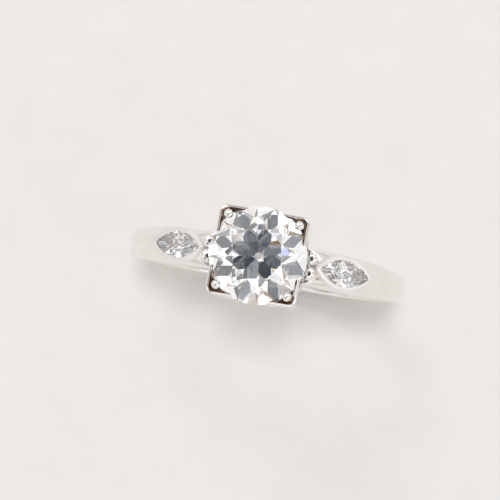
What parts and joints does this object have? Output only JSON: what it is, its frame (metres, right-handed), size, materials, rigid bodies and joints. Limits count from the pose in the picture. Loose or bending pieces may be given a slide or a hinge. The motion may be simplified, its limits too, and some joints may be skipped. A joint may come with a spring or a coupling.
{
  "type": "engagement ring",
  "caption": "White metal engagement ring: a round old-cut stone in a square head with L-shaped corner prongs, and a marquise stone in a raised bezel on each shoulder.",
  "frame": {"origin": "centre of the finger bore", "axes": "+Y along the finger, which is the bore's axis; +Z from the bore's centre out through the middle of the head; +X across the head along the band"},
  "size_m": [0.0198, 0.0064, 0.0232],
  "materials": {
    "white_metal": "polished platinum alloy",
    "diamond": "polished facets, near colourless"
  },
  "bodies": {
    "root": {"shank": "white_metal", "shoulder_left": "white_metal", "shoulder_right": "white_metal", "marquise_bezel_left": "white_metal", "marquise_bezel_right": "white_metal", "marquise_diamond_left": "diamond", "marquise_diamond_right": "diamond", "collar_left": "white_metal", "collar_right": "white_metal", "head_base": "white_metal", "seat_rail": "white_metal", "prong_back_left": "white_metal", "prong_back_right": "white_metal", "prong_front_left": "white_metal", "prong_front_right": "white_metal", "centre_diamond": "diamond"}
  },
  "joints": []
}
